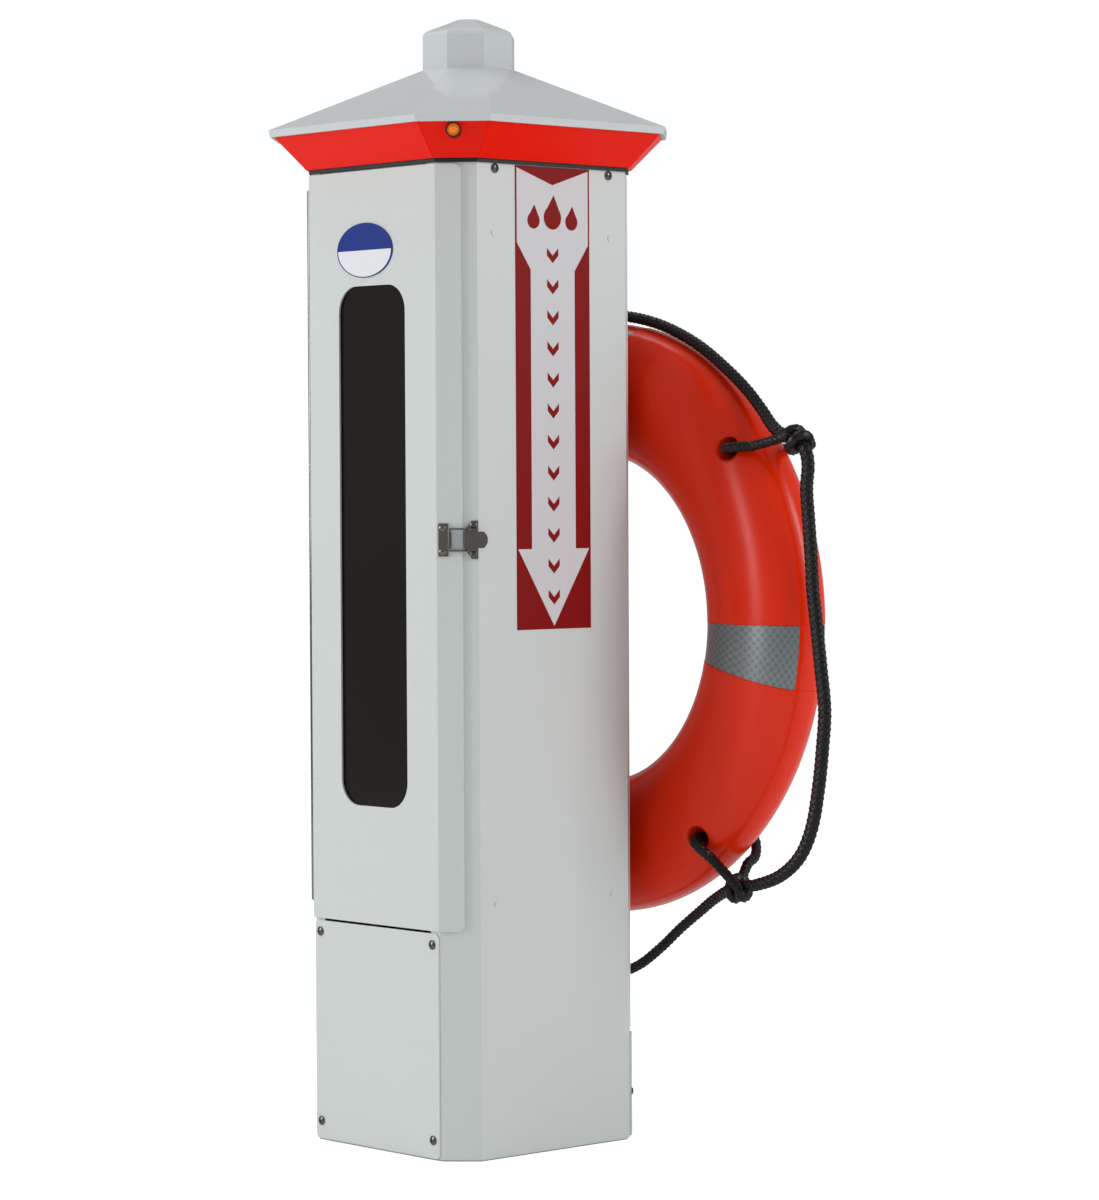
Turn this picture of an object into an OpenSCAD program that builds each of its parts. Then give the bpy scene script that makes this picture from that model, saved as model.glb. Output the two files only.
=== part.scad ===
// Dockside safety station: an eight-sided sheet-metal column that keeps a dry-powder
// extinguisher behind a windowed door, lights itself with a flared red lens under a pitched
// cap, and carries a life ring with its grab line on a hook at the back.
// Z is up. The origin is the centre of the foot, and the door faces -Y.

/* [Column] */
// Width of the column, side to side
body_w = 248; // [210:1:300]
// Depth of the column, front to back
body_d = 252; // [210:1:300]
// Leg of the corner chamfers
chamfer = 28; // [24:1:34]
// Height of the top edge of the column shells
body_h = 970; // [800:1:1200]
// Thickness of the column sheet
wall = 2; // [1.5:0.1:2.4]
// Width of the front and rear flanges that lie flat beside each opening
flange_w = 14; // [12:1:20]
// Height of the gap between the shells and the ground
foot_gap = 1.5; // [1:0.5:4]

/* [Foot] */
// Thickness of the base plate
base_t = 6; // [4:1:10]
// Spacing of the anchor holes, both ways
anchor_gap = 170; // [140:1:175]
// Radius of the anchor holes
anchor_r = 5.5; // [4:0.5:8]
// Radius of the conduit entry
entry_r = 30; // [20:1:45]

/* [Covers] */
// Height of the front access cover's top edge
cover_top = 222; // [160:1:240]
// Height of the rear access cover's top edge
rear_cover_top = 104; // [80:1:150]
// Height of the rear cover's flange screws
rear_screw_z = 46; // [20:1:70]
// Thickness of the covers and the back panel
cover_t = 2; // [1.5:0.1:2.4]

/* [Door] */
// Gap under the door, above the front cover
door_sill = 2.5; // [2:0.5:6]
// Gap over the door, under the head gasket
door_head = 1.5; // [1:0.5:4]
// Thickness of the door sheet
door_t = 2; // [1.5:0.1:2.4]
// Running gap between the door and the column
door_gap = 0.5; // [0.4:0.1:1]
// Where the door's closing edge stands on the right chamfer, from the chamfer's middle
seam_u = 5; // [2:0.5:8]
// Space between each upright edge of the window and the column's flange
window_side = 31; // [24:1:45]
// Space between the front cover's top edge and the window
window_foot = 119; // [60:1:200]
// Space between the window and the column's top edge
window_head = 115; // [90:1:180]
// Corner radius of the window
window_r = 26; // [8:1:34]
// Thickness of the window pane
pane_t = 3; // [2:0.5:4]
// Width of the oval badge
badge_w = 85; // [50:1:100]
// Height of the oval badge
badge_h = 54; // [30:1:60]

/* [Hinge] */
// Radius of the hinge knuckles
knuckle_r = 3.2; // [3:0.1:4]
// Radius of the hinge pin
hinge_pin_r = 1.6; // [1.2:0.1:1.8]
// Number of knuckles, both leaves together
knuckles = 13; // [7:2:21]

/* [Latch] */
// How far the latch sits above the door's middle
latch_up = 9; // [-40:1:40]
// Length of the lever past its pivot
lever_l = 20.5; // [16:0.5:28]
// Half width of the lever
lever_hw = 8; // [7:0.5:9]
// Radius of the bail wire
bail_r = 1; // [0.8:0.1:1.2]

/* [Head] */
// Thickness of the gasket under the lens
gasket_t = 4; // [3:0.5:6]
// How far the foot of the lens stands out from the column
lens_lip = 5; // [4:0.5:8]
// How far the lens flares out on its way up
flare = 30.5; // [20:0.5:36]
// Height of the flared lens
lens_h = 32; // [24:1:44]
// Thickness of the lens, measured level
lens_t = 4; // [3:0.5:5]
// How far the eave stands out past the lens
eave_lap = 5.5; // [4:0.5:9]
// Height of the eave band
eave_h = 7; // [5:0.5:10]
// Rise of the roof from the eave to the turret
roof_rise = 60; // [40:1:80]
// Width of the turret across flats
turret_w = 89.5; // [70:0.5:110]
// Height of the turret's straight sides
turret_h = 34; // [20:1:50]
// Rise of the turret's dome
dome_rise = 17.5; // [10:0.5:24]
// Thickness of the cap's shell
cap_t = 2.5; // [2:0.5:4]

/* [Life ring] */
// Outside diameter of the ring
ring_od = 610; // [560:1:640]
// Width of the ring's body, from its hole to its rim
ring_w = 137; // [115:1:150]
// Thickness of the ring, front to back
ring_t = 82; // [66:1:92]
// Space between the back panel and the ring
ring_gap = 13; // [10:1:30]
// Depth of the hook that carries the ring, below the column's top edge
hook_drop = 283.2; // [260:0.1:300]
// Turn of the ring about its own axis, in degrees
ring_turn = -6.5; // [-20:0.5:20]
// Thickness of the ring's moulded shell
ring_skin = 3; // [2:0.5:4]
// Radius of the line holes
line_hole_r = 11; // [8:0.5:12]
// Distance of the line holes in from the rim
line_hole_in = 28; // [25:1:34]
// Width of the reflective bands
band_w = 51; // [40:1:60]
// Diameter of the grab line
line_d = 12; // [9:0.5:13]

/* [Extinguisher] */
// Radius of the cylinder
ext_r = 65; // [55:1:70]
// Space under the cylinder, above the compartment shelf
ext_foot = 26; // [10:1:40]
// Space over the cylinder that its valve and handles take up
ext_head = 226; // [220:1:260]
// Space between the cylinder and the column's back
ext_back = 19; // [10:1:40]
// Radius of the hose
hose_r = 8; // [6:0.5:9]
// Space between the shelf and the mouth of the nozzle
hose_foot = 148; // [60:1:160]

/* [Hidden] */
$fn = 64;
eps = 0.01;

// ---------- plan geometry shared by every level of the column ----------
bend_u = chamfer / sqrt(2);
window_h = body_h - window_head - cover_top - window_foot;
window_z = cover_top + window_foot + window_h / 2;
latch_z = (cover_top + body_h) / 2 + latch_up;
open_w = body_w - 2 * chamfer - 2 * flange_w;
cover_w = body_w - 2 * chamfer - 2;
window_w = open_w - 2 * window_side;
touch = 0.3;

// Eight corners of the column's plan, moved out by o on every side
function plan(o) =
  let (hx = body_w / 2 + o, hy = body_d / 2 + o, c = chamfer + o * (2 - sqrt(2)))
  [[hx - c, -hy], [hx, c - hy], [hx, hy - c], [hx - c, hy],
   [c - hx, hy], [-hx, hy - c], [-hx, c - hy], [c - hx, -hy]];
function way(v) = v > 0.1 ? 1 : v < -0.1 ? -1 : 0;
function face_inset(az) = abs(way(sin(az)) * way(cos(az))) * chamfer / 2;
function face_mid(az) = [
  way(sin(az)) * (body_w / 2 - face_inset(az)),
  -way(cos(az)) * (body_d / 2 - face_inset(az)),
];

// Puts its children on the face that looks along azimuth az: x runs to the right as seen
// from outside, y runs up and z points outward
module on_face(az, u = 0, z = 0, out = 0) {
  p = face_mid(az);
  translate([p[0], p[1], z]) rotate([90, 0, az]) translate([u, 0, out]) children();
}
module ring_plan(outer, inner) {
  difference() {
    polygon(plan(outer));
    polygon(plan(inner));
  }
}
// Rectangle with round corners, centred
module rounded(w, h, r) {
  square([w - 2 * r, h], center = true);
  square([w, h - 2 * r], center = true);
  for (x = [-1, 1], y = [-1, 1]) translate([x * (w / 2 - r), y * (h / 2 - r)]) circle(r);
}
module rounded_plate(w, h, t, r) {
  linear_extrude(t) rounded(w, h, r);
}
// Pan-head screw: its head stands on z = 0 and its shank runs down
module pan_screw(head_r, head_h, shank_r, shank_l) {
  difference() {
    union() {
      intersection() {
        cylinder(r = head_r, h = head_h);
        translate([0, 0, head_h - head_r * 1.6]) sphere(head_r * 1.6);
      }
      translate([0, 0, -shank_l]) cylinder(r = shank_r, h = shank_l + eps);
    }
    for (a = [0, 90]) rotate(a)
      translate([-head_r * 0.55, -head_r * 0.11, head_h * 0.45]) cube([head_r * 1.1, head_r * 0.22, head_h]);
  }
}
module hex_bolt(across, head_h, shank_r, shank_l) {
  cylinder(r = across / sqrt(3), h = head_h, $fn = 6);
  translate([0, 0, -shank_l]) cylinder(r = shank_r, h = shank_l + eps);
}

// ---------- fasteners: sizes and places ----------
screw_r = 2;
screw_head_r = 4.6;
screw_head_h = 2.6;
screw_hole_r = screw_r + 0.05;
cover_screw_x = cover_w / 2 - 8.5;
cover_screw_z = [20, cover_top - 11];
rear_screw_x = cover_w / 2 - 7;
back_z0 = rear_cover_top + 2;
back_z1 = body_h - 1;
back_screw_z = [back_z0 + 20, back_z0 + (back_z1 - back_z0) / 3, back_z1 - (back_z1 - back_z0) / 3, back_z1 - 20];
tab_l = body_d / 2 - chamfer - 6;
rivet_y = tab_l - 15;
shelf_z = cover_top + 18;
header_z = body_h - 76;
rivet_z = [shelf_z + 9.5, header_z + 8.5];
head_screw_y = tab_l - 17;
head_screw_z = body_h - 5;
tab_t = 2;
tab_h = 17;
deck_t = 2;

// Moves a front or rear flange screw to every place that has one
module at_cover_screws(out = 0) {
  for (x = [-1, 1], z = cover_screw_z) on_face(0, x * cover_screw_x, z, out) children();
}
module at_back_screws(out = 0) {
  for (x = [-1, 1], z = back_screw_z) on_face(180, x * rear_screw_x, z, out) children();
}
module at_rear_cover_screws(out = 0) {
  for (az = [135, 225]) on_face(az, 0, rear_screw_z, out) children();
}
module at_rivets(az) {
  for (u = [-1, 1], z = rivet_z) on_face(az, u * rivet_y, z) children();
}
module at_head_screws(az) {
  for (u = [-1, 1]) on_face(az, u * head_screw_y, head_screw_z) children();
}
module through(r, l = 12) {
  translate([0, 0, -l]) cylinder(r = r, h = 2 * l);
}

// ---------- foot ----------
module base_plate() {
  color("dimgray") difference() {
    union() {
      linear_extrude(base_t) polygon(plan(-wall));
      for (s = [-1, 1]) translate([s * (body_w / 2 - wall - tab_t / 2) - tab_t / 2, 2 - tab_l, 0])
        cube([tab_t, 2 * tab_l - 4, 28]);
    }
    for (x = [-1, 1], y = [-1, 1]) translate([x * anchor_gap / 2, y * anchor_gap / 2, -1])
      cylinder(r = anchor_r, h = base_t + 2);
    translate([0, 0, -1]) cylinder(r = entry_r, h = base_t + 2);
    translate([conduit_x, conduit_y, -1]) cylinder(r = conduit_r - conduit_t, h = base_t + 2);
  }
}

// ---------- column shells ----------
module side_sheet() {
  translate([0, 0, foot_gap]) linear_extrude(body_h - foot_gap) intersection() {
    ring_plan(0, -wall);
    translate([open_w / 2, -body_d]) square([body_w, 2 * body_d]);
  }
}
module shell_holes(az) {
  at_rivets(az) through(rivet_r + 0.05);
  at_head_screws(az) through(screw_hole_r);
}
module flange_holes() {
  at_cover_screws() through(screw_hole_r);
  at_back_screws() through(screw_hole_r);
  at_rear_cover_screws() through(screw_hole_r);
}
module right_side_shell() {
  color("lightgray") difference() {
    side_sheet();
    shell_holes(90);
    flange_holes();
    at_latch_screws() through(latch_screw_r + 0.05);
  }
}
module left_side_shell() {
  color("lightgray") difference() {
    mirror([1, 0, 0]) side_sheet();
    shell_holes(270);
    flange_holes();
  }
}
module back_panel() {
  color("lightgray") difference() {
    on_face(180, 0, (back_z0 + back_z1) / 2) rounded_plate(cover_w, back_z1 - back_z0, cover_t, 3);
    at_back_screws() through(screw_hole_r);
    at_hanger_bolts() through(hanger_bolt_r + 0.05);
    at_ext_hanger_bolts() through(ext_bolt_r + 0.05);
  }
}
module back_panel_screws() {
  color("silver") at_back_screws(cover_t) pan_screw(screw_head_r, screw_head_h, screw_r, 9);
}
module access_cover() {
  z0 = foot_gap + 0.5;
  color("gainsboro") difference() {
    on_face(0, 0, (z0 + cover_top) / 2) rounded_plate(cover_w, cover_top - z0, cover_t, 5);
    at_cover_screws() through(screw_hole_r);
  }
}
module cover_screws() {
  color("silver") at_cover_screws(cover_t) pan_screw(screw_head_r, screw_head_h, screw_r, 9);
}
// Pan-shaped cover: its wings fold over both rear chamfers
module rear_access_cover() {
  z0 = foot_gap + 0.5;
  wing = 8;
  color("gainsboro") difference() {
    translate([0, 0, z0]) linear_extrude(rear_cover_top - z0) intersection() {
      ring_plan(cover_t, 0);
      translate([-body_w, body_d / 2 - chamfer]) square([2 * body_w, body_d]);
    }
    on_face(135, -wing - 20, 0, -5) cube([20, body_h, 20]);
    on_face(225, wing, 0, -5) cube([20, body_h, 20]);
    at_rear_cover_screws() through(screw_hole_r);
  }
}
module rear_cover_screws() {
  color("silver") at_rear_cover_screws(cover_t) pan_screw(3.6, 2.2, screw_r, 9);
}

// ---------- compartment floor and roof ----------
rivet_r = 1.6;
module level_panel(z, front) {
  translate([0, 0, z]) linear_extrude(wall) intersection() {
    polygon(plan(-wall));
    translate([-body_w, front - body_d / 2]) square([2 * body_w, 2 * body_d]);
  }
  for (s = [-1, 1]) translate([s * (body_w / 2 - wall - tab_t / 2) - tab_t / 2, -tab_l, z])
    cube([tab_t, 2 * tab_l, tab_h]);
}
conduit_x = 64 - body_w / 2;
conduit_y = body_d / 2 - 18;
conduit_r = 8;
conduit_t = 1.2;
module compartment_shelf() {
  color("lightgray") difference() {
    level_panel(shelf_z, 8);
    for (az = [90, 270]) at_rivets(az) through(rivet_r + 0.05);
    translate([conduit_x, conduit_y, shelf_z - 1]) cylinder(r = conduit_r + 0.5, h = wall + 2);
  }
}
module header_panel() {
  color("lightgray") difference() {
    level_panel(header_z, 8);
    for (az = [90, 270]) at_rivets(az) through(rivet_r + 0.05);
    translate([conduit_x, conduit_y, header_z - 1]) cylinder(r = conduit_r + 0.5, h = wall + 2);
  }
}
module side_rivets() {
  color("gainsboro") for (az = [90, 270]) at_rivets(az) {
    cylinder(r = 3, h = 0.8);
    translate([0, 0, -wall - tab_t]) cylinder(r = rivet_r, h = wall + tab_t + eps);
    translate([0, 0, -wall - tab_t - 1.5]) cylinder(r = 2.4, h = 1.5);
  }
}

// ---------- door hinge ----------
hinge_z0 = cover_top + 18;
hinge_z1 = body_h - 15;
knuckle_h = (hinge_z1 - hinge_z0) / knuckles;
knuckle_gap = 0.3;
pin_out = door_gap + knuckle_r;
leaf_t = 1.2;
leaf_w = 11;
leaf_u = knuckle_r + 0.4;
door_out = door_gap + door_t;
module hinge_knuckles(first) {
  for (i = [first:2:knuckles - 1]) translate([0, hinge_z0 + i * knuckle_h + knuckle_gap / 2, pin_out])
    rotate([-90, 0, 0]) cylinder(r = knuckle_r, h = knuckle_h - knuckle_gap);
}
module hinge_bore() {
  translate([0, hinge_z0 - 1, pin_out]) rotate([-90, 0, 0])
    cylinder(r = hinge_pin_r + 0.05, h = hinge_z1 - hinge_z0 + 2);
}
module hinge_body_leaf() {
  color("silver") on_face(315) difference() {
    union() {
      translate([-leaf_u - leaf_w, hinge_z0, 0]) cube([leaf_w, hinge_z1 - hinge_z0, leaf_t]);
      for (i = [0:2:knuckles - 1]) translate([-leaf_u - eps, hinge_z0 + i * knuckle_h + knuckle_gap / 2, 0])
        cube([leaf_u - 1.4, knuckle_h - knuckle_gap, leaf_t]);
      hinge_knuckles(0);
    }
    hinge_bore();
  }
}
module hinge_door_leaf() {
  color("silver") on_face(315) difference() {
    union() {
      translate([leaf_u, hinge_z0, door_out]) cube([leaf_w, hinge_z1 - hinge_z0, leaf_t]);
      for (i = [1:2:knuckles - 1]) translate([1.8, hinge_z0 + i * knuckle_h + knuckle_gap / 2, door_out])
        cube([leaf_u - 1.8 + eps, knuckle_h - knuckle_gap, leaf_t]);
      hinge_knuckles(1);
    }
    hinge_bore();
  }
}
module hinge_pin() {
  color("silver") on_face(315) translate([0, hinge_z0 - 1, pin_out]) rotate([-90, 0, 0])
    cylinder(r = hinge_pin_r, h = hinge_z1 - hinge_z0 + 2);
}

// ---------- door ----------
door_z0 = cover_top + door_sill;
door_z1 = body_h - door_head;
door_mid = (door_z0 + door_z1) / 2;
seam_gap = 1;
return_r = 8;
pane_out = door_gap - 1;
module door_skin() {
  color("gainsboro") difference() {
    translate([0, 0, door_z0]) linear_extrude(door_z1 - door_z0) intersection() {
      ring_plan(door_out, door_gap);
      translate([-body_w, -body_d]) square([2 * body_w, body_d / 2 + chamfer - 3]);
    }
    on_face(45, seam_u - seam_gap / 2, 0, -5) cube([40, 2 * body_h, 20]);
    on_face(315, leaf_u - 40, 0, -5) cube([40, 2 * body_h, 20]);
    on_face(0, 0, window_z) translate([0, 0, -10]) rounded_plate(window_w, window_h, 20, window_r);
    // rounded closing corners
    for (z = [0, 1]) on_face(45, seam_u - seam_gap / 2 - return_r, z ? door_z1 - return_r : door_z0 + return_r, -5)
      difference() {
        translate([0, z ? 0 : -return_r - 1, 0]) cube([return_r + 1, return_r + 1, 20]);
        translate([0, 0, -1]) cylinder(r = return_r, h = 22);
      }
  }
}
module window_gasket() {
  color("black") on_face(0, 0, window_z, pane_out) linear_extrude(1) difference() {
    rounded(window_w + 28, window_h + 28, window_r + 14);
    rounded(window_w, window_h, window_r);
  }
}
module window_pane() {
  color([0.15, 0.12, 0.12, 0.8]) on_face(0, 0, window_z, pane_out - pane_t)
    rounded_plate(window_w + 24, window_h + 24, pane_t, window_r + 12);
}
module window_clips() {
  x0 = window_w / 2 + 15;
  color("silver") for (s = [-1, 1], i = [-2:2]) on_face(0, 0, window_z + i * window_h * 0.22)
    scale_side(s) {
      translate([x0, -6, pane_out - pane_t]) cube([8, 12, pane_t + 1]);
      translate([x0 - 8, -6, pane_out - pane_t - 1.5]) cube([16, 12, 1.5 + eps]);
    }
}
module scale_side(s) {
  if (s > 0) children();
  else mirror([1, 0, 0]) children();
}
module door_gasket() {
  inner = open_w - 12;
  color("black") on_face(0, 0, door_mid, -4) linear_extrude(4 + door_gap) difference() {
    square([inner + 6, door_z1 - door_z0 - 8], center = true);
    square([inner, door_z1 - door_z0 - 14], center = true);
  }
}
badge_x = -9;
badge_z = body_h - 80;
badge_t = 1.2;
module badge() {
  color("navy") on_face(0, badge_x, badge_z, door_out) linear_extrude(badge_t)
    polygon([for (i = [0:59]) [badge_w / 2 * cos(i * 6), badge_h / 2 * sin(i * 6)]]);
}

// ---------- latch ----------
latch_screw_r = 1.6;
latch_screw_h = 14;
base_u0 = seam_u + 0.8;
base_u1 = bend_u - 0.6;
pivot_u = seam_u + 3.8;
pivot_out = 5;
latch_pin_r = 1.2;
cheek_t = 1.2;
ear_hw = lever_hw - cheek_t - 0.3;
strike_u = -bend_u + 0.8;
strike_w = 9.6;
hook_u = strike_u + strike_w + 0.6;
hook_out = door_out + 2.7;
bail_z = lever_hw + 1.5 + bail_r;
module at_latch_screws(out = 0) {
  for (s = [-1, 1]) on_face(45, base_u1 - 4.2, latch_z + s * latch_screw_h, out) children();
}
module latch_base() {
  h = 2 * latch_screw_h + 9;
  color("silver") difference() {
    union() {
      on_face(45, 0, latch_z) linear_extrude(1.5)
        polygon([[base_u0, -lever_hw], [base_u1 - 6, -h / 2], [base_u1, -h / 2], [base_u1, h / 2],
                 [base_u1 - 6, h / 2], [base_u0, lever_hw]]);
      for (s = [-1, 1]) {
        on_face(45, pivot_u - 1.8, latch_z + s * (ear_hw - 0.75) - 0.75) cube([4, 1.5, pivot_out]);
        on_face(45, pivot_u, latch_z + s * (ear_hw - 0.75) - 0.75, pivot_out) rotate([-90, 0, 0])
          cylinder(r = 2.2, h = 1.5);
      }
    }
    at_latch_screws() through(latch_screw_r + 0.05);
    on_face(45, pivot_u, latch_z - 20, pivot_out) rotate([-90, 0, 0]) cylinder(r = latch_pin_r, h = 40);
  }
}
module latch_base_screws() {
  color("silver") at_latch_screws(1.5) pan_screw(3.2, 2, latch_screw_r, 7);
}
module latch_pin() {
  color("silver") on_face(45, pivot_u, latch_z - lever_hw, pivot_out) rotate([-90, 0, 0])
    cylinder(r = latch_pin_r, h = 2 * lever_hw);
}
// Channel-section lever: a rounded top plate with two cheeks on the pivot pin
module latch_lever() {
  under = 2.6;
  top = under + 1.2;
  back = -2.4;
  cheek_l = 9.6;
  end_r = lever_hw + 2;
  color("silver") on_face(45, pivot_u, latch_z, pivot_out) difference() {
    rotate([90, 0, 0]) linear_extrude(2 * lever_hw, center = true)
      polygon([[back, -2], [cheek_l, -2], [cheek_l, under], [lever_l, under], [lever_l, top], [back, top]]);
    translate([back - 1, cheek_t - lever_hw, -3]) cube([cheek_l - back + 2, 2 * (lever_hw - cheek_t), 3 + under]);
    rotate([90, 0, 0]) translate([0, 0, -20]) cylinder(r = latch_pin_r + 0.08, h = 40);
    translate([lever_l - end_r, 0, 0]) difference() {
      translate([0, -end_r - 2, -1]) cube([end_r + 2, 2 * end_r + 4, top + 3]);
      translate([0, 0, -2]) cylinder(r = end_r, h = top + 5);
    }
  }
}
// Wire loop: the cross bar lies in the strike's curl and the two arms reach to the lever
module latch_bail() {
  arm = pivot_u + 2.5 - hook_u;
  bend = 2;
  tip = 1.4;
  color("silver") on_face(45, hook_u, latch_z, hook_out) {
    translate([0, bend - bail_z, 0]) rotate([-90, 0, 0]) cylinder(r = bail_r, h = 2 * (bail_z - bend));
    for (s = [0, 1]) mirror([0, s, 0]) {
      translate([bend, bail_z - bend, 0]) rotate(90) wire_bend(bend);
      translate([bend, bail_z, 0]) rotate([0, 90, 0]) cylinder(r = bail_r, h = arm - bend - tip);
      translate([arm - tip, bail_z - tip, 0]) wire_bend(tip);
    }
  }
}
module wire_bend(r) {
  rotate_extrude(angle = 90) translate([r, 0]) circle(bail_r);
}
module strike() {
  color("silver") difference() {
    union() {
      on_face(45, strike_u, latch_z - 16, door_out) cube([strike_w, 32, 1.4]);
      on_face(45, hook_u, latch_z - lever_hw + 0.5, hook_out) rotate([-90, 0, 0])
        cylinder(r = bail_r + 1.5, h = 2 * lever_hw - 1);
      on_face(45, strike_u + strike_w - 2, latch_z - lever_hw + 0.5, door_out)
        cube([2.6, 2 * lever_hw - 1, 1.4]);
      for (s = [-1, 1]) on_face(45, strike_u + 4, latch_z + s * 11.5, door_out + 1.4)
        pan_screw(3, 1.8, 1.5, 1);
    }
    on_face(45, hook_u, latch_z - 20, hook_out) rotate([-90, 0, 0]) cylinder(r = bail_r + 0.08, h = 40);
    on_face(45, hook_u - 4, latch_z - 20, hook_out) cube([4, 40, 4]);
  }
}

// ---------- sign on the right side ----------
sign_w = 98;
sign_z0 = body_h - 454;
sign_z1 = body_h - 0.5;
sign_t = 0.3;
arrow_hw = 29;
arrow_top = sign_z1 - 17.5;
barb_z = sign_z0 + 79;
mark_w = 15;
mark_pitch = 30.5;
mark_count = 12;
// Outline of the arrow that is cut out of the red film
module arrow_window() {
  hw = sign_w / 2 - 2;
  polygon([[-hw, sign_z1 - 2], [0, arrow_top], [hw, sign_z1 - 2], [hw, sign_z1 - 75],
           [arrow_hw, sign_z1 - 101], [arrow_hw, barb_z], [hw, barb_z], [0, sign_z0 + 3],
           [-hw, barb_z], [-arrow_hw, barb_z], [-arrow_hw, sign_z1 - 101], [-hw, sign_z1 - 75]]);
}
module flame_mark(h) {
  translate([0, h * 0.34]) circle(h * 0.34);
  polygon([[-h * 0.33, h * 0.42], [h * 0.33, h * 0.42], [h * 0.05, h]]);
}
module chevron_mark(w) {
  polygon([[-w / 2, w * 0.5], [0, 0], [w / 2, w * 0.5], [w / 2, w], [0, w * 0.5], [-w / 2, w]]);
}
module marks() {
  translate([0, sign_z1 - 61]) flame_mark(34);
  for (s = [-1, 1]) translate([s * 25, sign_z1 - 61]) flame_mark(24);
  for (i = [0:mark_count - 1]) translate([0, sign_z1 - 94 - i * mark_pitch]) chevron_mark(mark_w);
}
// Red film: the field round the arrow, and the marks inside it
module sign_panel() {
  color("darkred") on_face(90) linear_extrude(sign_t) {
    difference() {
      translate([-sign_w / 2, sign_z0]) square([sign_w, sign_z1 - sign_z0]);
      arrow_window();
    }
    marks();
  }
}
// White film: the arrow, cut round the marks
module sign_arrow() {
  color("white") on_face(90) linear_extrude(sign_t) difference() {
    arrow_window();
    marks();
  }
}

// ---------- head: deck, gasket, lights ----------
lens_z0 = body_h + gasket_t;
lens_z1 = lens_z0 + lens_h;
module head_deck() {
  color("silver") difference() {
    union() {
      translate([0, 0, body_h - deck_t]) linear_extrude(deck_t) polygon(plan(-wall));
      for (s = [-1, 1]) translate([s * (body_w / 2 - wall - tab_t / 2) - tab_t / 2, -tab_l, body_h - 14])
        cube([tab_t, 2 * tab_l, 14]);
    }
    for (az = [90, 270]) at_head_screws(az) through(screw_hole_r);
    translate([lead_x, lead_y, body_h - 10]) cylinder(r = grommet_r, h = 20);
  }
}
module head_screws() {
  color("silver") for (az = [90, 270]) at_head_screws(az) pan_screw(screw_head_r, screw_head_h, screw_r, 8);
}
module head_gasket() {
  color("black") translate([0, 0, body_h]) linear_extrude(gasket_t) ring_plan(2.5, -12);
}
lead_x = 55;
lead_y = 20;
grommet_r = 5;
board_t = 1.6;
module led_board() {
  color("darkgreen") difference() {
    translate([0, 0, body_h]) linear_extrude(board_t) ring_plan(-22, -38);
    for (p = posts()) translate([p[0], p[1], body_h - 1]) cylinder(r = post_r + 1, h = 5);
  }
}
led_gap = (min(body_w, body_d) / 2 - chamfer - 42) / 1.5;
module leds() {
  color("white") for (az = [0:90:270], k = [-3, -1, 1, 3]) on_face(az, k * led_gap / 2, body_h + board_t, -30)
    rotate([-90, 0, 0]) translate([-2.5, -2.5, 0]) cube([5, 5, 1.2]);
}
driver_x = 30;
driver_h = 32;
module led_driver() {
  color("gray") translate([driver_x, 0, header_z + wall]) {
    linear_extrude(driver_h) rounded(60, 110, 4);
    translate([-30, -65, 0]) cube([60, 130, 2]);
  }
}
module terminal_block() {
  color("ivory") translate([-45, -10, header_z + wall]) difference() {
    translate([-14, -36, 0]) cube([28, 72, 20]);
    for (i = [-3:3]) translate([-6, i * 9.6, 12]) cylinder(r = 2.6, h = 10);
  }
}
module driver_lead() {
  z0 = header_z + wall + driver_h;
  run_z = body_h + board_t + 3;
  color("dimgray") {
    translate([lead_x, lead_y, z0]) cylinder(r = 3, h = run_z + 2 - z0);
    translate([lead_x, lead_y, run_z]) rotate([0, 90, 0]) cylinder(r = 2.9, h = body_w / 2 - 35 - lead_x);
  }
}
module lead_grommet() {
  color("black") translate([lead_x, lead_y, body_h - deck_t - 1.5]) difference() {
    union() {
      cylinder(r = grommet_r, h = deck_t + 3);
      cylinder(r = grommet_r + 2, h = 1.5);
      translate([0, 0, deck_t + 1.5]) cylinder(r = grommet_r + 2, h = 1.5);
    }
    translate([0, 0, -1]) cylinder(r = 3, h = 10);
  }
}
module supply_conduit() {
  color("gray") translate([conduit_x, conduit_y, base_t]) difference() {
    cylinder(r = conduit_r, h = header_z + wall + 6 - base_t);
    translate([0, 0, -1]) cylinder(r = conduit_r - conduit_t, h = header_z + 20);
  }
}

// ---------- lens ----------
lens_top = lens_lip + flare;
module slab(o, z) {
  translate([0, 0, z]) linear_extrude(eps) polygon(plan(o));
}
lamp_r = 7.5;
lamp_z = lens_z1 - lamp_r - 0.4;
lamp_out = lens_top + 2;
module on_lamp(out = 0) {
  on_face(45, 0, lamp_z, out) children();
}
// Fine grooves where the lens panels meet
module lens_seams() {
  for (i = [0:7]) {
    foot = plan(lens_lip)[i];
    rise = plan(lens_top)[i] - foot;
    translate([foot[0], foot[1], lens_z0]) rotate([0, -atan2(lens_h, norm(rise)), atan2(rise[1], rise[0])])
      translate([-3, -0.4, -0.8]) cube([norm([norm(rise), lens_h]) + 6, 0.8, 2.5]);
  }
}
module lens_skirt() {
  color("red") difference() {
    union() {
      difference() {
        hull() {
          slab(lens_lip, lens_z0);
          slab(lens_top, lens_z1 - eps);
        }
        hull() {
          slab(lens_lip - lens_t - 1, lens_z0 - 1);
          slab(lens_top - lens_t + 1, lens_z1 + 1);
        }
      }
      translate([0, 0, lens_z0]) linear_extrude(2.5) ring_plan(lens_lip - 1, -8);
    }
    on_lamp() cylinder(r = lamp_r, h = 60);
    lens_seams();
  }
}
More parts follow.
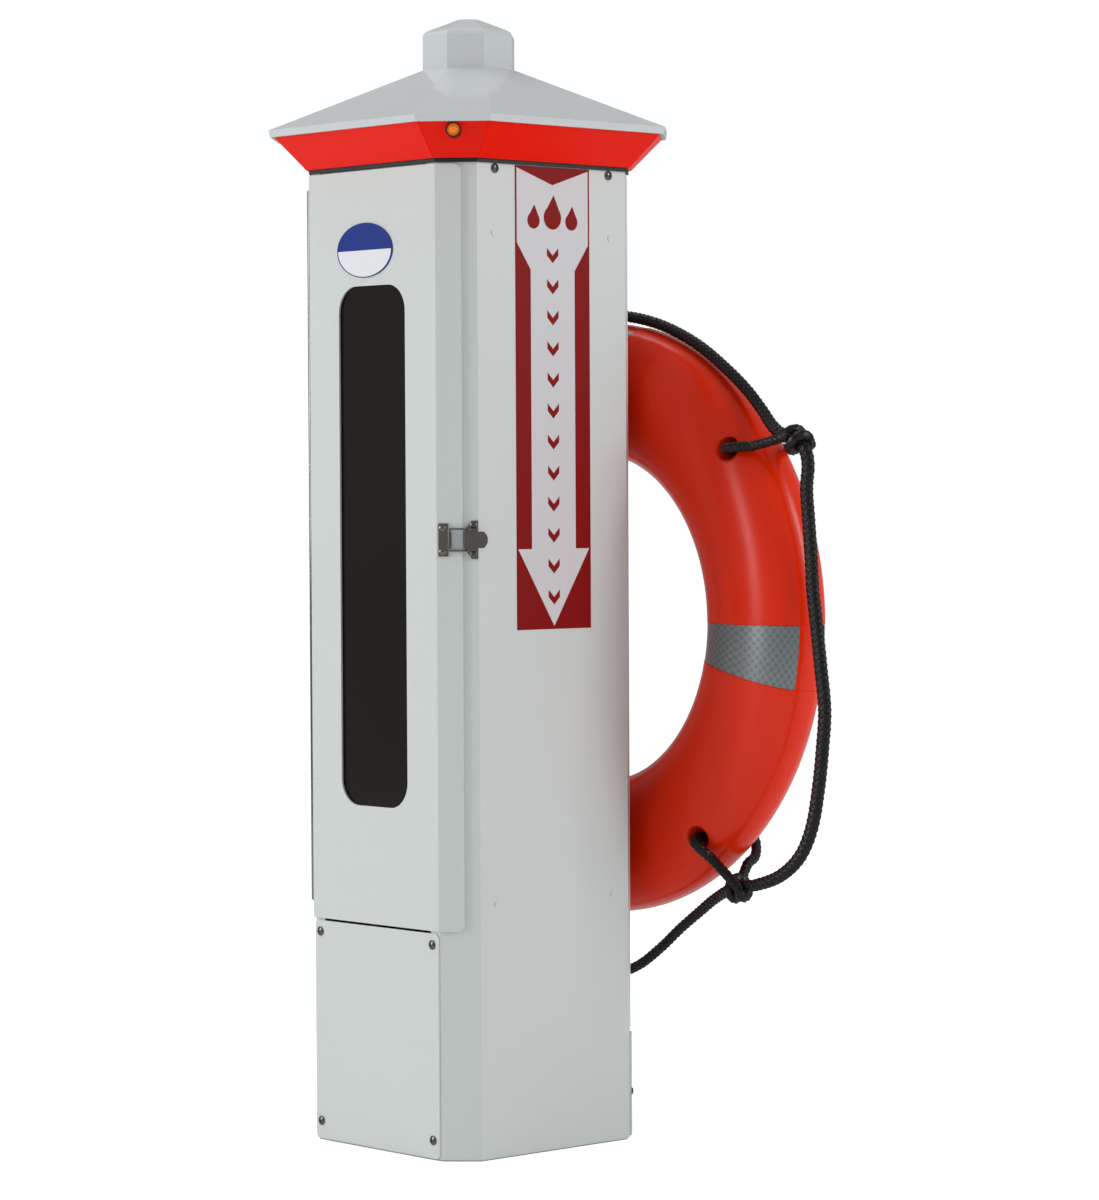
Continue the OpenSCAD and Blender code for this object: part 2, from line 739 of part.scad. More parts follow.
module lamp_bezel() {
  color("maroon") on_lamp(lens_lip + 4) difference() {
    cylinder(r = lamp_r, h = lamp_out - lens_lip - 4);
    translate([0, 0, -1]) cylinder(r = lamp_r - 1.6, h = lamp_out);
  }
}
module lamp_lens() {
  color("orange") on_lamp(lens_lip + 6) {
    cylinder(r = lamp_r - 1.6, h = lamp_out - lens_lip - 10);
    translate([0, 0, lamp_out - lens_lip - 10]) sphere(lamp_r - 2.6);
  }
}

// ---------- cap ----------
eave_out = lens_top + eave_lap;
eave_z = lens_z1 + eave_h;
turret_z = eave_z + roof_rise;
turret_c = turret_w * (1 - 1 / sqrt(2));
function turret_plan(o) =
  let (h = turret_w / 2 + o, c = turret_c + o * (2 - sqrt(2)))
  [[h - c, -h], [h, c - h], [h, h - c], [h - c, h], [c - h, h], [-h, h - c], [-h, c - h], [c - h, -h]];
module turret_slab(o, z) {
  translate([0, 0, z]) linear_extrude(eps) polygon(turret_plan(o));
}
post_r = 5;
function posts() = [for (x = [-1, 1], y = [-1, 1]) [x * (body_w / 2 - chamfer - 14), y * (body_d / 2 - chamfer - 14)]];
frame_t = 2.5;
module cap_posts() {
  color("silver") for (p = posts()) translate([p[0], p[1], body_h]) difference() {
    cylinder(r = post_r, h = lens_z1 - body_h, $fn = 6);
    translate([0, 0, 10]) cylinder(r = 2.05, h = lens_z1 - body_h);
  }
}
module cap_frame() {
  color("silver") difference() {
    translate([0, 0, lens_z1]) linear_extrude(frame_t) difference() {
      polygon(plan(eave_out - cap_t - 1.3));
      square([body_w - 94, body_d - 94], center = true);
    }
    for (p = posts()) translate([p[0], p[1], lens_z1 - 1]) cylinder(r = 2.05, h = 10);
  }
}
module cap_frame_screws() {
  color("silver") for (p = posts()) translate([p[0], p[1], lens_z1 + frame_t]) pan_screw(4, 2.4, 2, 10);
}
module cap_solid(t) {
  hull() {
    slab(eave_out - t - 1.5, lens_z1 - (t > 0 ? 1 : 0));
    slab(eave_out - t, eave_z - t);
  }
  hull() {
    slab(eave_out - t, eave_z - t - eps);
    turret_slab(-t, turret_z - t);
  }
  hull() {
    turret_slab(-t, turret_z - t - 2);
    turret_slab(-t, turret_z + turret_h - t);
    turret_slab(-t - 1.6, turret_z + turret_h + 3 - t);
    turret_slab(-t - 5.2, turret_z + turret_h + 5.4 - t);
    turret_slab(-t - turret_w * 0.29, turret_z + turret_h + dome_rise * 0.78 - t);
    turret_slab(-t - turret_w * 0.38, turret_z + turret_h + dome_rise - t - eps);
  }
}
module cap() {
  color("lightgray") difference() {
    cap_solid(0);
    cap_solid(cap_t);
  }
}

// ---------- life ring ----------
ring_y = body_d / 2 + cover_t + ring_gap + ring_t / 2;
ring_bore_r = ring_od / 2 - ring_w;
hook_w = 40;
hook_top = body_h - hook_drop;
ring_z = hook_top + 0.5 - sqrt(ring_bore_r * ring_bore_r - hook_w * hook_w / 4);
ring_rm = (ring_od - ring_w) / 2;
line_hole_rad = ring_od / 2 - line_hole_in;
band_a = band_w / ring_rm * 180 / PI;
band_t = 0.8;
section_n = 2.3;
section_pts = 32;
// Points of the ring's cross-section, drawn in by t: a squarish oval
function ring_section(t) =
  [for (i = [0:section_pts - 1]) let (a = 360 * i / section_pts, c = cos(a), s = sin(a))
    [ring_rm + (ring_w / 2 - t) * way(c) * pow(abs(c), 2 / section_n),
     (ring_t / 2 - t) * way(s) * pow(abs(s), 2 / section_n)]];
module on_ring(a = 0) {
  translate([0, ring_y, ring_z]) rotate([0, -a - ring_turn, 0]) rotate([90, 0, 0]) children();
}
module ring_body(t) {
  rotate_extrude($fn = 96) polygon(ring_section(t));
}
module band_cut(t_out, t_in, a) {
  rotate(-a / 2) rotate_extrude(angle = a, $fn = 96) difference() {
    polygon(ring_section(t_out));
    polygon(ring_section(t_in));
  }
}
module line_holes(r) {
  for (a = [45:90:315]) on_ring(a) translate([line_hole_rad, 0, -ring_t]) cylinder(r = r, h = 2 * ring_t);
}
module ring_shell() {
  color("orangered") difference() {
    union() {
      difference() {
        on_ring() ring_body(0);
        on_ring() ring_body(ring_skin);
      }
      intersection() {
        on_ring() ring_body(0.5);
        line_holes(line_hole_r + 3);
      }
    }
    line_holes(line_hole_r);
    for (a = [0:90:270]) on_ring(a) band_cut(-2, band_t, band_a);
  }
}
module ring_foam() {
  color("ivory") difference() {
    on_ring() ring_body(ring_skin + touch);
    line_holes(line_hole_r + 3 + touch);
  }
}
module reflective_bands() {
  color("white") for (a = [0:90:270]) on_ring(a) band_cut(0, band_t, band_a - 0.3);
}

// ---------- grab line ----------
// Each point is [angle round the ring, distance from its centre, distance to the rear],
// clockwise from the upper left hole, as the line lies on a ring with the rim route_rim
route_rim = 305;
line_route = [
  [129, 333, -8], [122, 324, -4], [114, 316, -2], [105, 313, -2], [96, 313, -2], [87, 313, -2],
  [78, 313, -2], [70, 313, -2], [62, 313, -2], [54, 314, -4], [47, 317, -6], [41, 321, -10],
  [37, 325, -14], [34, 333, -17], [31.5, 346, -18], [29, 353, -18], [26.5, 349, -17],
  [23, 337, -17], [18, 329, -17], [12, 323, -17], [6, 320, -17], [0, 323, -17],
  [-7, 331, -17], [-14, 344, -17], [-20, 352, -17], [-26, 362, -17], [-32, 374, -18], [-37, 379, -20],
  [-42, 372, -21], [-47, 356, -21], [-52, 338, -19], [-58, 329, -10], [-64, 329, -4], [-70, 335, -2],
  [-76, 348, -2], [-82, 362, -2], [-88, 370, -2], [-95, 369, -2], [-101, 358, -2], [-107, 345, -2],
  [-114, 334, -2], [-121, 329, -4], [-128, 329, -8], [-135, 333, -12], [-141, 346, -16], [-146, 366, -17],
  [-151, 371, -17], [-157, 361, -17], [-164, 348, -17], [-171, 334, -17], [-178, 324, -17],
  [-185, 320, -17], [-192, 322, -17], [-200, 330, -17], [-207, 338, -17], [-214, 341, -16],
  [-221, 338, -14], [-227, 334, -12]
];
line_points = [for (p = line_route) let (r = p[1] + ring_od / 2 - route_rim)
  [r * cos(p[0]), ring_y + p[2], ring_z + r * sin(p[0])]];
line_sides = 8;
// One hitch in the plane across the ring: through the hole, over the rim and round the hanging
// line, which crosses that plane r from the ring's centre and y to the rear
function hitch_route(r, y) = let (h = line_hole_rad, b = ring_t / 2)
  [[h, 0], [h, 17 - b], [h + 3, 3 - b], [h + 14, -b], [h + 28, 3 - b], [r - 5, y - 13.5],
   [r + 8, y - 11.5], [r + 14, y], [r + 10, y + 10], [r - 1, y + 14], [h + 28, b - 8], [h + 14, b],
   [h + 3, b - 3], [h, b - 17]];
function unit(v) = v / norm(v);
function last(v) = len(v) - 1;
// Rings of a round tube along a path that lies in one plane with normal n
function tube_ring(c, dir, n, r, k) =
  let (side = unit(cross(dir, n)))
  [for (i = [0:k - 1]) c + r * (cos(360 * i / k) * side + sin(360 * i / k) * n)];
function path_dir(p, i, closed) =
  closed ? unit(p[(i + 1) % len(p)] - p[(i + len(p) - 1) % len(p)])
         : unit(p[min(i + 1, last(p))] - p[max(i - 1, 0)]);
module tube(p, n, r, k, closed) {
  m = len(p);
  pts = [for (i = [0:m - 1]) each tube_ring(p[i], path_dir(p, i, closed), n, r, k)];
  walls = [for (i = [0:(closed ? m : m - 1) - 1], j = [0:k - 1])
    [i * k + j, i * k + (j + 1) % k, ((i + 1) % m) * k + (j + 1) % k, ((i + 1) % m) * k + j]];
  ends = closed ? [] : [[for (j = [k - 1:-1:0]) j], [for (j = [0:k - 1]) (m - 1) * k + j]];
  polyhedron(points = pts, faces = concat(walls, ends));
}
module grab_line() {
  color("black") tube(line_points, [0, 1, 0], line_d / 2, line_sides, false);
}
module line_hitches() {
  color("black") for (a = [45:90:315]) {
    e = [cos(a + ring_turn), 0, sin(a + ring_turn)];
    n = [-sin(a + ring_turn), 0, cos(a + ring_turn)];
    t = a + ring_turn > 129 ? a + ring_turn - 360 : a + ring_turn;
    r = lookup(t, [for (p = line_route) [p[0], p[1]]]) + ring_od / 2 - route_rim;
    y = lookup(t, [for (p = line_route) [p[0], p[2]]]);
    tube([for (q = hitch_route(r, y)) [0, ring_y, ring_z] + q[0] * e + [0, q[1], 0]], n, line_d / 2 - 0.5, 8, true);
  }
}

// ---------- ring hook ----------
hook_t = 4;
hook_lip = 45;
hanger_bolt_r = 4;
hanger_y = body_d / 2 + cover_t;
hook_plate = 90;
hanger_bolt_z = [hook_top - hook_plate + 14, hook_top - hook_plate + 46];
module at_hanger_bolts(out = 0) {
  for (z = hanger_bolt_z) on_face(180, 0, z, out) children();
}
module ring_hanger() {
  reach = ring_gap + ring_t + 3;
  color("silver") difference() {
    translate([-hook_w / 2, hanger_y, hook_top]) {
      translate([0, 0, -hook_plate]) cube([hook_w, hook_t, hook_plate]);
      translate([0, 0, -hook_t]) cube([hook_w, reach + hook_t, hook_t]);
      translate([0, reach, -hook_t]) cube([hook_w, hook_t, hook_t + hook_lip]);
    }
    at_hanger_bolts() through(hanger_bolt_r + 0.05);
  }
}
module ring_hanger_bolts() {
  color("silver") at_hanger_bolts(cover_t + hook_t) {
    hex_bolt(13, 5.3, hanger_bolt_r, cover_t + hook_t + 10);
    translate([0, 0, -cover_t - hook_t - 6.5]) difference() {
      cylinder(r = 13 / sqrt(3), h = 6.5, $fn = 6);
      translate([0, 0, -1]) cylinder(r = hanger_bolt_r - eps, h = 9);
    }
  }
}

// ---------- extinguisher ----------
ext_y = body_d / 2 - ext_back - ext_r;
ext_z = shelf_z + wall + ext_foot;
ext_h = header_z - ext_head - ext_z;
neck_z = ext_z + ext_h;
valve_r = 14;
lug_z = neck_z + 22;
lug_h = 24;
slot_y = ext_y + 18;
slot_l = 7;
ext_bolt_r = 2.5;
ext_bolt_z = [lug_z - 24, lug_z + 20];
lift_gap = 0.3;
module at_ext_hanger_bolts(out = 0) {
  for (z = ext_bolt_z) on_face(180, 0, z, out) children();
}
// Wall bracket: its upturned tongue stands in the slot of the valve's lug
module ext_hanger() {
  back = body_d / 2;
  arm_z = lug_z - lift_gap - 5;
  color("silver") {
    difference() {
      union() {
        translate([-18, back - 3, lug_z - 34]) cube([36, 3, 66]);
        translate([-4, slot_y + 1, arm_z]) cube([8, back - slot_y - 1, 5]);
        translate([-4, slot_y + 1, arm_z]) cube([8, slot_l - 2, 18]);
      }
      at_ext_hanger_bolts() through(ext_bolt_r + 0.05);
    }
    for (z = ext_bolt_z) translate([0, back - 3, z]) rotate([90, 0, 0]) pan_screw(4.4, 2.6, ext_bolt_r, 3 + cover_t);
  }
}
module bottle_half(r, h, top_r) {
  square([r - top_r, h]);
  square([r, h - top_r]);
  intersection() {
    translate([r - top_r, h - top_r]) circle(top_r);
    square([r, h]);
  }
}
module ext_cylinder() {
  skin = 2.5;
  color("firebrick") translate([0, ext_y, ext_z]) rotate_extrude() difference() {
    union() {
      bottle_half(ext_r, ext_h - 14, 44);
      square([valve_r - 2, ext_h]);
      square([valve_r + 3, ext_h - 8]);
    }
    translate([0, 12]) bottle_half(ext_r - skin, ext_h - 14 - 12 - skin, 42);
    square([valve_r - 5, ext_h + 1]);
    translate([0, -1]) square([ext_r - skin, 9]);
  }
}
module ext_valve() {
  color("silver") translate([0, ext_y, neck_z]) difference() {
    union() {
      cylinder(r = valve_r, h = 62);
      translate([0, 0, -24]) cylinder(r = valve_r - 5.05, h = 25);
      translate([0, 0, 10]) cylinder(r = valve_r + 2.5, h = 10, $fn = 6);
      translate([-9, 0, 22]) cube([18, 32, lug_h]);
      translate([-11, -95, 46]) cube([22, 92, 2.5]);
      translate([-11, -95, 30]) cube([22, 2.5, 18]);
      translate([-9, -10, 60]) cube([3, 34, 22]);
      translate([6, -10, 60]) cube([3, 34, 22]);
      translate([0, 0, 36]) rotate([0, 90, 0]) cylinder(r = 9, h = 24);
      translate([0, 0, 30]) rotate([90, 0, 0]) cylinder(r = 7, h = valve_r + 1);
      translate([0, 0, -neck_z + ext_z + 20]) cylinder(r = 6, h = ext_h - 40);
    }
    translate([-5, slot_y - ext_y, 10]) cube([10, slot_l, 60]);
    translate([0, 0, -neck_z + ext_z + 10]) cylinder(r = 4, h = ext_h - 20);
    translate([-20, 16, 74]) rotate([0, 90, 0]) cylinder(r = 2.5, h = 40);
    translate([-20, -4, 67]) rotate([0, 90, 0]) cylinder(r = 1.6, h = 40);
  }
}
module ext_gauge() {
  color("white") translate([0, ext_y - valve_r - 1, neck_z + 30]) rotate([90, 0, 0]) {
    cylinder(r = 5, h = 8);
    translate([0, 0, 8]) difference() {
      cylinder(r = 13, h = 9);
      translate([0, 0, 7]) cylinder(r = 11.5, h = 5);
    }
  }
}
nozzle_r = 13;
module ext_hose() {
  bend = 34;
  x0 = ext_r + nozzle_r + 2;
  drop = neck_z + 36 - bend - 60 - hose_foot - shelf_z - wall;
  color("black") translate([x0 - bend, ext_y, neck_z + 36]) {
    translate([-(x0 - bend - 24), 0, 0]) rotate([0, 90, 0]) cylinder(r = hose_r, h = x0 - bend - 24);
    translate([0, 0, -bend]) rotate([90, 0, 0]) rotate_extrude(angle = 90) translate([bend, 0]) circle(hose_r);
    translate([bend, 0, -bend - drop]) cylinder(r = hose_r, h = drop);
    translate([bend, 0, -bend - drop - 60]) difference() {
      cylinder(r1 = nozzle_r, r2 = hose_r + 2, h = 60);
      translate([0, 0, -1]) cylinder(r1 = nozzle_r - 2, r2 = 6, h = 50);
    }
  }
}
ext_lever_y = ext_y + 16;
ext_lever_z = neck_z + 74;
module ext_lever() {
  color("silver") difference() {
    union() {
      translate([-5.6, ext_y - 96, neck_z + 77]) cube([11.2, 118, 2.5]);
      for (s = [-1, 1]) translate([s * 4.8 - 0.8, ext_y - 8, neck_z + 72.5]) cube([1.6, 30, 5]);
      for (s = [-1, 1]) translate([s * 4.8 - 0.8, ext_y + 8, neck_z + 66]) cube([1.6, 14, 12]);
      translate([-11, ext_y - 96, neck_z + 77]) cube([22, 78, 2.5]);
    }
    translate([-20, ext_lever_y, ext_lever_z]) rotate([0, 90, 0]) cylinder(r = 2.58, h = 40);
  }
}
module ext_pull_pin() {
  color("silver") translate([-12, ext_y - 4, neck_z + 67]) {
    rotate([0, 90, 0]) cylinder(r = 1.4, h = 28);
    translate([28 + 11, 0, 0]) rotate([90, 0, 0]) rotate_extrude() translate([11, 0]) circle(1.4);
  }
}

base_plate();
left_side_shell();
right_side_shell();
back_panel();
back_panel_screws();
access_cover();
cover_screws();
rear_access_cover();
rear_cover_screws();
compartment_shelf();
header_panel();
side_rivets();
hinge_body_leaf();
hinge_pin();
latch_base();
latch_base_screws();
latch_pin();
sign_panel();
sign_arrow();
head_deck();
head_screws();
head_gasket();
led_board();
leds();
led_driver();
terminal_block();
driver_lead();
lead_grommet();
supply_conduit();
cap_posts();
lens_skirt();
cap_frame();
cap_frame_screws();
lamp_bezel();
lamp_lens();
cap();
ring_hanger();
ring_hanger_bolts();
ext_hanger();
door_skin();
hinge_door_leaf();
window_gasket();
window_pane();
window_clips();
door_gasket();
badge();
strike();
latch_lever();
latch_bail();
ring_shell();
ring_foam();
reflective_bands();
grab_line();
line_hitches();
ext_cylinder();
ext_valve();
ext_gauge();
ext_hose();
ext_lever();
ext_pull_pin();
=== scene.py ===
import math

import bpy
import numpy as np
from mathutils import Matrix


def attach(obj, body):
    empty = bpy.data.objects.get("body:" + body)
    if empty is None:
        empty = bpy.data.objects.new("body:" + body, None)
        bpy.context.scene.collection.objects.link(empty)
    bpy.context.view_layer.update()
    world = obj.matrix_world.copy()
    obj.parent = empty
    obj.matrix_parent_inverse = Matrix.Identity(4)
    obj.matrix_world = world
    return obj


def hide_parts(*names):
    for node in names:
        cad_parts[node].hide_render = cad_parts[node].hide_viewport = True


# Dock safety station. An eight-sided painted column holds an extinguisher behind a smoked
# window, a lit red lens and a pitched cap stand on top, and a life ring hangs at the back.
# The camera and the grab line come first, then each piece as it is put together.
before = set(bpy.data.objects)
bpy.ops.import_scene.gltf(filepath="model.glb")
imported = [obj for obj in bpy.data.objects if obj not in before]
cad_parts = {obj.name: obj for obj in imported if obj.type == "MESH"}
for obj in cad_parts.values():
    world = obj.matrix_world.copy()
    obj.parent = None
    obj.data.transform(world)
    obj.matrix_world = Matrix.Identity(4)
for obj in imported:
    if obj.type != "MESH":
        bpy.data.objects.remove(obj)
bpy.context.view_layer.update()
MM = 0.001

# ---------------------------------------------------------------------------- camera
# A long lens four metres off, a little above half the station's height, looking at the
# right front corner.
azimuth, distance, eye_height = 49.091, 4031.6, 651.8
yaw, pitch, roll = 1.115, -1.560, -0.286
focal_length, sensor = 120.0, 36.0


def swing(a, b, degrees):
    """Turns the pair of unit vectors a and b towards each other: a cos + b sin, b cos - a sin."""
    c, s = math.cos(math.radians(degrees)), math.sin(math.radians(degrees))
    return a * c + b * s, b * c - a * s


turn = math.radians(azimuth)
eye = np.array([math.sin(turn) * distance, -math.cos(turn) * distance, eye_height]) * MM
ahead = np.array([-math.sin(turn), math.cos(turn), 0.0])
right = np.array([math.cos(turn), math.sin(turn), 0.0])
up = np.array([0.0, 0.0, 1.0])
ahead, right = swing(ahead, right, yaw)
ahead, up = swing(ahead, up, pitch)
right, up = swing(right, up, roll)
camera = bpy.data.objects.new("camera", bpy.data.cameras.new("camera"))
camera.data.lens = focal_length
camera.data.sensor_width = sensor
camera.data.clip_end = 60.0
placement = np.eye(4)
placement[:3, 0], placement[:3, 1], placement[:3, 2], placement[:3, 3] = right, up, -ahead, eye
camera.matrix_world = Matrix(placement.tolist())
bpy.context.scene.collection.objects.link(camera)
bpy.context.scene.camera = camera
bpy.context.scene.view_settings.view_transform = "Standard"

# ---------------------------------------------------------------------------- grab line
# Black hollow-braid polyester line, 12 mm nominal and drawn about 11 mm thick, hung in bays
# round the ring and tied in at four holes. It is limp, so each bay sags, and it flattens where
# it carries no load.
ring_y, ring_z, ring_turn = 182.0, 520.5, -6.5
# Route: angle round the ring (degrees), distance from its centre and to the rear (mm)
line_route = np.array([
    [129, 333, -8], [122, 324, -4], [114, 316, -2], [105, 313, -2], [96, 313, -2], [87, 313, -2],
    [78, 313, -2], [70, 313, -2], [62, 313, -2], [54, 314, -4], [47, 317, -6], [41, 321, -10],
    [37, 325, -14], [34, 333, -17], [31.5, 346, -18], [29, 353, -18], [26.5, 349, -17],
    [23, 337, -17], [18, 329, -17], [12, 323, -17], [6, 320, -17], [0, 323, -17],
    [-7, 331, -17], [-14, 344, -17], [-20, 352, -17], [-26, 362, -17], [-32, 374, -18],
    [-37, 379, -20], [-42, 372, -21], [-47, 356, -21], [-52, 338, -19], [-58, 329, -10],
    [-64, 329, -4], [-70, 335, -2], [-76, 348, -2], [-82, 362, -2], [-88, 370, -2], [-95, 369, -2],
    [-101, 358, -2], [-107, 345, -2], [-114, 334, -2], [-121, 329, -4], [-128, 329, -8],
    [-135, 333, -12], [-141, 346, -16], [-146, 366, -17], [-151, 371, -17], [-157, 361, -17],
    [-164, 348, -17], [-171, 334, -17], [-178, 324, -17], [-185, 320, -17], [-192, 322, -17],
    [-200, 330, -17], [-207, 338, -17], [-214, 341, -16], [-221, 338, -14], [-227, 334, -12],
    [-231, 333, -9],
], dtype=float)
# Half width across the ring's plane (mm): taut on top, flattened where it hangs at the sides
line_spread = np.interp(
    line_route[:, 0],
    [-227, -200, -151, -135, -110, -70, -52, -30, 28, 41, 70, 129],
    [5.6, 7.0, 7.2, 5.4, 4.8, 4.8, 5.4, 7.2, 7.0, 5.6, 5.3, 5.3],
)
line_thickness = 5.1
line_step, line_sides = 0.95, 34
carriers = 6
strand_step = 6.2
strand_relief = 1.35


def even_path(points, step, closed=False, extra=None):
    """A smooth curve through the points, read off at even steps. Between points b and c with
    neighbours a and d it is the Catmull-Rom cubic. extra holds values that ride along."""
    values = points if extra is None else np.column_stack([points, extra])
    if closed:
        values = np.vstack([values[-1], values, values[:2]])
    else:
        values = np.vstack([2 * values[0] - values[1], values, 2 * values[-1] - values[-2]])
    a, b, c, d = (values[i:len(values) - 3 + i, None, :] for i in range(4))
    t = np.linspace(0, 1, 24, endpoint=False)[None, :, None]
    curve = 0.5 * (2 * b + (c - a) * t + (2 * a - 5 * b + 4 * c - d) * t ** 2
                   + (3 * b - a - 3 * c + d) * t ** 3)
    curve = np.vstack([curve.reshape(-1, values.shape[1]), values[-2][None]])
    run = np.concatenate([[0], np.cumsum(np.linalg.norm(np.diff(curve[:, :3], axis=0), axis=1))])
    count = max(8, int(round(run[-1] / step)))
    at = np.linspace(0, run[-1], count, endpoint=not closed)
    return np.column_stack([np.interp(at, run, curve[:, k]) for k in range(curve.shape[1])]), run[-1]


def braid_height(around, along):
    """Height of the braid, 0 to 1. Two families of strands cross at u + v and u - v, where u
    counts carriers round the line and v counts steps along it. The upper strand of a crossing
    changes from one diamond to the next, and each strand is a half sine across its width."""
    a, b = around + along, around - along
    over = (np.floor(a) + np.floor(b)) % 2 < 1
    fa, fb = np.sin(np.pi * (a % 1)), np.sin(np.pi * (b % 1))
    return np.where(over, fa * (0.65 + 0.35 * fb), fb * (0.65 + 0.35 * fa))


def grid_faces(rows, columns, wrap_rows, wrap_columns):
    """Corner numbers of the quads between a grid of points, closed on itself where it wraps."""
    i = np.arange(rows if wrap_rows else rows - 1)[:, None]
    j = np.arange(columns if wrap_columns else columns - 1)[None, :]
    i2, j2 = (i + 1) % rows, (j + 1) % columns
    quads = np.stack([i * columns + j, i * columns + j2, i2 * columns + j2, i2 * columns + j], -1)
    return quads.reshape(-1, 4)


def new_piece(name, points, quads, uv=None, ends=(), heights=None):
    """A mesh object from points in mm. Its faces are turned outwards by the sign of the volume
    they enclose, and it is shaded smooth. uv places and heights are given one a point, and
    heights ride along as a grey colour. ends are the faces that close a tube."""
    points = np.asarray(points, dtype=float).reshape(-1, 3) * MM
    quads = np.asarray(quads)
    p = points[quads]
    centre = points.mean(axis=0)
    volume = np.einsum("ij,ij->i", p[:, 0] - centre,
                       np.cross(p[:, 1] - centre, p[:, 2] - centre)
                       + np.cross(p[:, 2] - centre, p[:, 3] - centre)).sum()
    ends = [list(e) for e in ends]
    if volume < 0:
        quads = quads[:, ::-1]
        ends = [e[::-1] for e in ends]
    mesh = bpy.data.meshes.new(name)
    mesh.from_pydata(points.tolist(), [], quads.tolist() + ends)
    if uv is not None:
        layer = mesh.uv_layers.new(name="cloth")
        corners = np.zeros(len(mesh.loops), dtype=int)
        mesh.loops.foreach_get("vertex_index", corners)
        layer.data.foreach_set("uv", uv.reshape(-1, 2)[corners].ravel())
    if heights is not None:
        grey = mesh.color_attributes.new(name="strand_height", type="FLOAT_COLOR", domain="POINT")
        level = np.asarray(heights, dtype=float).reshape(-1, 1)
        grey.data.foreach_set("color", np.hstack([level, level, level, np.ones_like(level)]).ravel())
    mesh.polygons.foreach_set("use_smooth", [True] * len(mesh.polygons))
    mesh.update()
    piece = bpy.data.objects.new(name, mesh)
    bpy.context.scene.collection.objects.link(piece)
    return piece


def braided_tube(path, spread, thickness, reference, sides, closed):
    """Points of a braided line: an ellipse of half widths spread and thickness carried along
    the path, with the braid's height added outwards. The ellipse's short axis leans to the
    reference direction. The braid's height at each point comes back as well."""
    if closed:
        tangent = np.roll(path, -1, axis=0) - np.roll(path, 1, axis=0)
    else:
        tangent = np.gradient(path, axis=0)
    tangent /= np.linalg.norm(tangent, axis=1, keepdims=True)
    side = np.cross(tangent, reference)
    side /= np.linalg.norm(side, axis=1, keepdims=True)
    lean = np.cross(side, tangent)
    step = np.linalg.norm(np.diff(path, axis=0), axis=1).mean()
    total = len(path) * step
    steps = round(total / strand_step)
    along = np.arange(len(path))[:, None] / (len(path) if closed else len(path) - 1) * steps
    angle = np.linspace(0, 2 * np.pi, sides, endpoint=False)[None, :]
    height = braid_height(angle * carriers / (2 * np.pi), along)
    relief = strand_relief * (height - 0.5)
    wide = (spread.reshape(-1, 1) + relief) * np.cos(angle)
    thick = (thickness + relief) * np.sin(angle)
    points = (path[:, None, :] + wide[..., None] * side[:, None, :]
              + thick[..., None] * lean[:, None, :])
    return points, height


def srgb(text):
    """Linear RGBA of an sRGB hex colour."""
    parts = [int(text[i:i + 2], 16) / 255 for i in (1, 3, 5)]
    return [c / 12.92 if c <= 0.04045 else ((c + 0.055) / 1.055) ** 2.4 for c in parts] + [1.0]


def add_node(material, kind, links=(), **settings):
    """Adds a node to a material, sets its sockets or its own settings, and links it: each link
    is (its output, the other node, that node's input) or (its input, the other node's output)."""
    made = material.node_tree.nodes.new(kind)
    for key, value in settings.items():
        if hasattr(made, key):
            setattr(made, key, value)
        else:
            made.inputs[key.replace("_", " ")].default_value = value
    for link in links:
        if len(link) == 3:
            material.node_tree.links.new(made.outputs[link[0]], link[1].inputs[link[2]])
        else:
            material.node_tree.links.new(link[1], made.inputs[link[0]])
    return made


def new_finish(name, colour, roughness, metallic=0.0):
    """A material named for a real finish, and its surface shader."""
    material = bpy.data.materials.new(name)
    material.use_nodes = True
    surface = material.node_tree.nodes["Principled BSDF"]
    surface.inputs["Base Color"].default_value = srgb(colour)
    surface.inputs["Roughness"].default_value = roughness
    surface.inputs["Metallic"].default_value = metallic
    return material, surface


def round_ring(polar):
    """Route points (angle, distance, to the rear) as places in the row frame, in mm."""
    a = np.radians(polar[:, 0])
    return np.column_stack([polar[:, 1] * np.cos(a), ring_y + polar[:, 2],
                            ring_z + polar[:, 1] * np.sin(a)])


line_path, _ = even_path(round_ring(line_route), line_step, extra=line_spread)
line_points, line_heights = braided_tube(line_path[:, :3], line_path[:, 3], line_thickness,
                                         np.array([0.0, 1.0, 0.0]), line_sides, False)
rows = len(line_path)
grab_line = new_piece(
    "braided_grab_line", line_points, grid_faces(rows, line_sides, False, True),
    ends=[list(range(line_sides))[::-1], list(range((rows - 1) * line_sides, rows * line_sides))],
    heights=line_heights)
# Dyed polyester: near black, with painted shade darkening the colour between the strands and painted
# glints lightening it along their backs
polyester, surface = new_finish("dyed_polyester_with_painted_shade", "#12100F", 0.3)
surface.inputs["Specular IOR Level"].default_value = 0.3
strand = add_node(polyester, "ShaderNodeVertexColor", layer_name="strand_height")
painted_shade_and_glint = add_node(polyester, "ShaderNodeMix", data_type="RGBA")
# Painted shade at the foot of each strand (#020202), rising to a painted glint on its back (#1A1716)
painted_shade_and_glint.inputs[6].default_value = srgb("#020202")
painted_shade_and_glint.inputs[7].default_value = srgb("#1A1716")
polyester.node_tree.links.new(strand.outputs["Color"], painted_shade_and_glint.inputs[0])
polyester.node_tree.links.new(painted_shade_and_glint.outputs[2], surface.inputs["Base Color"])
surface.inputs["Sheen Weight"].default_value = 0.02
surface.inputs["Sheen Roughness"].default_value = 0.4
grab_line.data.materials.append(polyester)
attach(grab_line, "life_ring")
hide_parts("grab_line")

